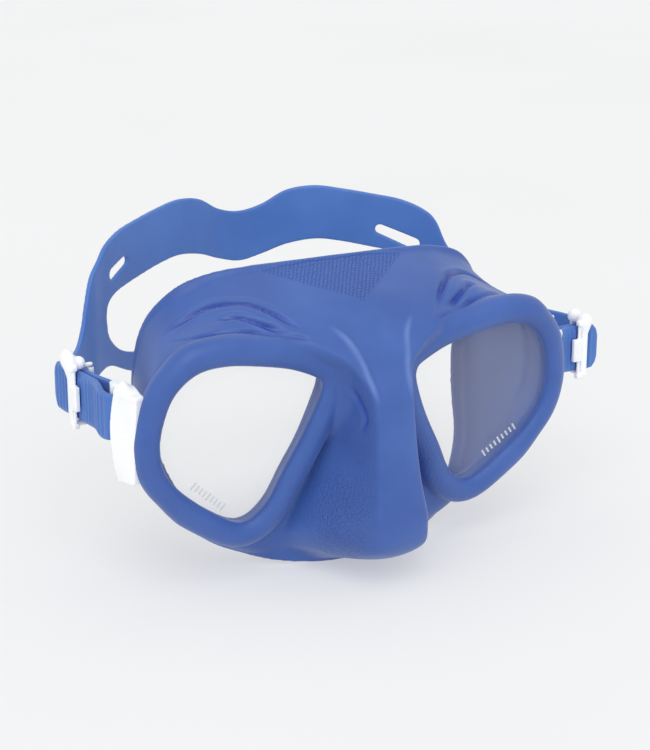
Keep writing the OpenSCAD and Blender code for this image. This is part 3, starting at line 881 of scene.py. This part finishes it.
def pawl_field(u, v, w):
    """The pawl's plate with its grip ridges, and the pin that it turns on."""
    p = (u, v, w)
    hub = rounded(np.hypot(u, v) - 1.15 + 0 * w, np.abs(w) - 4.2, 0.35)
    plate = block(p, (-1.5, -0.2, 0), (1.3, 0.8, 4.2), 0.3)
    ridges = np.minimum.reduce([rod(p, (u_at, -1.05, -3.2), (u_at, -1.05, 3.2), 0.2)
                                for u_at in (-1.0, -1.6, -2.2)])
    pin = rounded(np.hypot(u, v) - PIN + 0 * w, np.abs(w) - PIN_HALF, 0.15)
    return join(join(join(hub, plate, 0.3), ridges, 0.15), pin, 0.2)


def roller_field(u, v, w):
    """The roller, fluted so that it grips the strap."""
    away = np.hypot(u, v)
    grooves = 0.07 * step(np.cos(np.arctan2(v, u) * 12), -0.2, 0.6) * step(np.abs(w), 8.2, 7.6)
    shell = rounded(away - ROLLER + 0.07 - grooves + 0 * w, np.abs(w) - ROLLER_HALF, 0.25)
    return np.maximum(shell, BORE - away)


def pin_field(u, v, w):
    """The roller's pin, with a turned neck near each end."""
    away = np.hypot(u, v) + 0.12 * step(0.5 - np.abs(np.abs(w) - 9.0), 0, 0.3)
    return rounded(away - PIN, np.abs(w) - PIN_HALF, 0.15)


def surface(field, low, high, size, *more):
    """The closed surface of a field between two corners, in cells of one size."""
    whole = np.broadcast_arrays(*grid(low, high, size))
    return skin(field(*whole, *more), np.array(low, float), size, rounds=2)


def local_to_face(points, side, u, v):
    """From the slider's own place (along the strap, towards the head, up) to the mask's."""
    s = SIDES[side]
    x, y = from_post(s, points[:, 0] + u, points[:, 1] + v)
    return np.stack([s["sign"] * x, y, points[:, 2] + s["low"] + END_WIDE / 2], 1)


def turned(faces, side):
    """Faces of the right side's piece, turned round for the left side's mirror image."""
    return faces if SIDES[side]["sign"] > 0 else faces[:, ::-1]


pawl_points, pawl_faces = surface(pawl_field, (-4, -2.5, -10.6), (2.4, 2.4, 10.6), PAWL_CELL)
pin_points, pin_faces = surface(pin_field, (-1.2, -1.2, -10.4), (1.2, 1.2, 10.4), PIN_CELL)
roller_points, roller_faces = surface(roller_field, (-2, -2, -9.6), (2, 2, 9.6), ROLLER_CELL)
for side, data in SIDES.items():
    mirror = np.array([data["sign"], 1, 1])
    lug_points, lug_faces = surface(lug_field, (77.5, -3, -6), (90, 21, 32), LUG_CELL, data["tuck"])
    slider_points, slider_faces = surface(slider_field, (-5, -7.2, -13), (7.5, 7, 17),
                                          LUG_CELL, *data["lobes"])
    lug = to_mesh("lug_cover_" + side, lug_points * mirror, turned(lug_faces, side), WHITE)
    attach(lug, "mask")
    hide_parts("lug_" + side)
    parts = (("slider_body_", slider_points, slider_faces, 0, 0, "slider_", "slider_frame_", WHITE),
             ("pin_", pin_points, pin_faces, 0, ROLLER_V, "slider_", "slider_pin_", STEEL),
             ("pawl_", pawl_points, pawl_faces, PAWL_U, PAWL_V, "pawl_", "slider_pawl_", WHITE),
             ("roller_", roller_points, roller_faces, 0, ROLLER_V, "roller_", "slider_roller_", WHITE))
    for name, points, faces, u, v, body, node, material in parts:
        place = local_to_face(points, side, u + data["reach"], v)
        piece = to_mesh(name + side, place, turned(faces, side), material)
        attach(piece, body + side)
        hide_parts(node + side)


# ---------------------------------------------------------------- lenses
def glass():
    """Clear glass that shows by its glossy reflections and by a faint pale film that is a painted
    reflection.
    """
    m = Nodes("lens_glass")
    # The pale base colour, almost see-through, is a painted reflection veil over what lies behind the
    # glass
    m.set(Base_Color=m.ramp(m.noise(12, 2), (0.3, (0.93, 0.93, 0.92)), (0.7, (0.97, 0.97, 0.96))),
          Roughness=m.ramp(m.noise(60, 2), (0.3, (0.02,)), (0.7, (0.05,))))
    m.set(Alpha=0.08, Specular_IOR_Level=0.55)
    return m.material


def plain_plastic(name, dark, light):
    """A matt plastic, mottled a little between two near shades."""
    m = Nodes(name)
    m.set(Base_Color=m.ramp(m.noise(80, 3), (0.3, dark), (0.7, light)),
          Roughness=m.ramp(m.noise(300, 2), (0.3, (0.4,)), (0.7, (0.5,))))
    m.bump((m.noise(1200, 2), 0.15, 0.0001))
    return m.material


def from_lens(points, sign):
    """Points of the lens's own plane (across, behind it, up) in the mask's place."""
    a, b, c = np.array(points, float).T
    flat = b * math.cos(LEAN) - c * math.sin(LEAN)
    x = a * math.cos(SWEEP) - flat * math.sin(SWEEP)
    y = a * math.sin(SWEEP) + flat * math.cos(SWEEP)
    return np.stack([sign * x, y, b * math.sin(LEAN) + c * math.cos(LEAN)], 1)


def swept(profile, sign, capped):
    """A profile of (distance out from the opening, depth) taken round the opening."""
    outline = smooth(OPENING, 8, closed=True)
    along = np.roll(outline, -1, 0) - np.roll(outline, 1, 0)
    out = np.stack([along[:, 1], -along[:, 0]], 1) / np.linalg.norm(along, axis=1, keepdims=True)
    out *= np.sign(((outline - outline.mean(0)) * out).sum())
    n, m = len(outline), len(profile)
    points = [(*(p + o * off), b) for off, b in profile for p, o in zip(outline, out)]
    points = from_lens([(a, b, c) for a, c, b in points], sign)
    faces = [(k * n + i, k * n + (i + 1) % n, (k + 1) % m * n + (i + 1) % n, (k + 1) % m * n + i)
             for k in range(m - 1 if capped else m) for i in range(n)]
    if capped:
        faces += [tuple(range(n - 1, -1, -1)), tuple((m - 1) * n + i for i in range(n))]
    return points, faces


def lens_piece(name, points, faces, material, slot, node):
    """A piece fixed to the mask, sharp at its edges, from points in mm and faces of any length."""
    mesh = bpy.data.meshes.new(name)
    mesh.from_pydata([tuple(p) for p in (points - (0, FACE_TO_LENS, 0)) / 1000], [], faces)
    shape = bmesh.new()
    shape.from_mesh(mesh)
    bmesh.ops.recalc_face_normals(shape, faces=shape.faces)
    shape.to_mesh(mesh)
    shape.free()
    mesh.polygons.foreach_set("use_smooth", np.ones(len(mesh.polygons), bool))
    mesh.set_sharp_from_angle(angle=math.radians(25))
    mesh.materials.append(material)
    obj = bpy.data.objects.new(name, mesh)
    bpy.context.scene.collection.objects.link(obj)
    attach(obj, "mask")
    if node:
        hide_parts(node)


TICKS = 9
TICK_HALF = 0.32                    # half a tick's width
TICK_SHORT, TICK_TALL = 1.15, 1.5   # half heights; every fourth tick is tall
TICK_FRONT, TICK_BACK = 1.9, 2.02   # a tick's depth: it stands a little out of the glass


def marks(start, end, sign):
    """A row of small ticks on the front of a lens, from start to end, in its own plane."""
    start, end = np.array(start, float), np.array(end, float)
    along = (end - start) / np.linalg.norm(end - start)
    up = np.array([-along[1], along[0]])
    points, faces = [], []
    for k in range(TICKS):
        middle = start + (end - start) * k / (TICKS - 1)
        tall = TICK_SHORT if k % 4 else TICK_TALL
        for depth in (TICK_FRONT, TICK_BACK):
            for i, j in ((-1, -1), (1, -1), (1, 1), (-1, 1)):
                a, c = middle + along * TICK_HALF * i + up * tall * j
                points.append((a, depth, c))
        b = 8 * k
        faces += [(b, b + 1, b + 2, b + 3), (b + 7, b + 6, b + 5, b + 4)]
        faces += [(b + i, b + 4 + i, b + 4 + (i + 1) % 4, b + (i + 1) % 4) for i in range(4)]
    return from_lens(points, sign), faces


GLASS = glass()
RING = plain_plastic("ring_plastic", linear(30, 52, 110), linear(36, 60, 122))
PRINT = plain_plastic("lens_print", linear(205, 206, 208), linear(220, 221, 223))
# Section of the glass and of its ring: distance out from the opening, and depth
PLATE = [(1.6, 2.0), (2.0, 2.4), (2.0, 5.2), (1.6, 5.6)]
FRAME = [(2.35, 2.2), (3.9, 2.2), (4.1, 2.4), (4.1, 6.3), (3.8, 6.6), (2.2, 6.6), (1.9, 6.3),
         (1.9, 5.75), (2.35, 5.65)]
for side, data in SIDES.items():
    sign = data["sign"]
    lens_piece("lens_glass_" + side, *swept(PLATE, sign, True), GLASS, "glass", "lens_" + side)
    lens_piece("lens_frame_" + side, *swept(FRAME, sign, False), RING, "ring_plastic",
               "lens_ring_" + side)
    NODES["lug_post_" + side].data.materials.clear()
    NODES["lug_post_" + side].data.materials.append(WHITE)
lens_piece("lens_ticks_left", *marks((61.4, -8.6), (50.6, -18.2), -1), PRINT, "glass", None)
lens_piece("lens_ticks_right", *marks((52, -16.6), (64, -8.2), 1), PRINT, "glass", None)


# ---------------------------------------------------------------- studio
FLOOR_SIZE = 24.0       # m
FLOOR_GLOW, SKY, SUN, PANEL = 0.43, 0.81, 1.0, 1.6      # strengths
SUN_FROM, PANEL_FROM = (-0.45, -1.0, 1.0), (-0.4, -0.5, 1.2)


def make_studio():
    """A pale floor that glows a little, an even sky, a soft sun and a small panel of light."""
    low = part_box("skirt")[0].z
    mesh = bpy.data.meshes.new("floor")
    corners = np.array([(-1, -1), (1, -1), (1, 1), (-1, 1)]) * FLOOR_SIZE / 2
    mesh.from_pydata([(x, y, low) for x, y in corners], [], [(0, 1, 2, 3)])
    floor = bpy.data.objects.new("floor", mesh)
    bpy.context.scene.collection.objects.link(floor)
    m = Nodes("floor")
    m.set(Base_Color=m.ramp(m.noise(3, 2), (0.3, (0.44,)), (0.7, (0.46,))), Roughness=0.9)
    m.set(Emission_Color=(1, 1, 1, 1), Emission_Strength=FLOOR_GLOW, Specular_IOR_Level=0.1)
    mesh.materials.append(m.material)
    world = bpy.data.worlds.new("studio")
    bpy.context.scene.world = world
    world.use_nodes = True
    sky = world.node_tree.nodes["Background"].inputs
    sky["Color"].default_value, sky["Strength"].default_value = (0.97, 0.98, 1.0, 1), SKY
    sun = bpy.data.lights.new("sky", "SUN")
    sun.energy, sun.angle = SUN, math.radians(50)
    panel = bpy.data.lights.new("panel", "AREA")
    panel.size, panel.energy = 0.8, PANEL
    for data, place in ((sun, SUN_FROM), (panel, PANEL_FROM)):
        light = bpy.data.objects.new(data.name, data)
        light.matrix_world = (Matrix.Translation(place)
                              @ (-Vector(place)).to_track_quat("-Z", "Y").to_matrix().to_4x4())
        bpy.context.scene.collection.objects.link(light)


bpy.context.scene.view_settings.view_transform = "Standard"
make_studio()
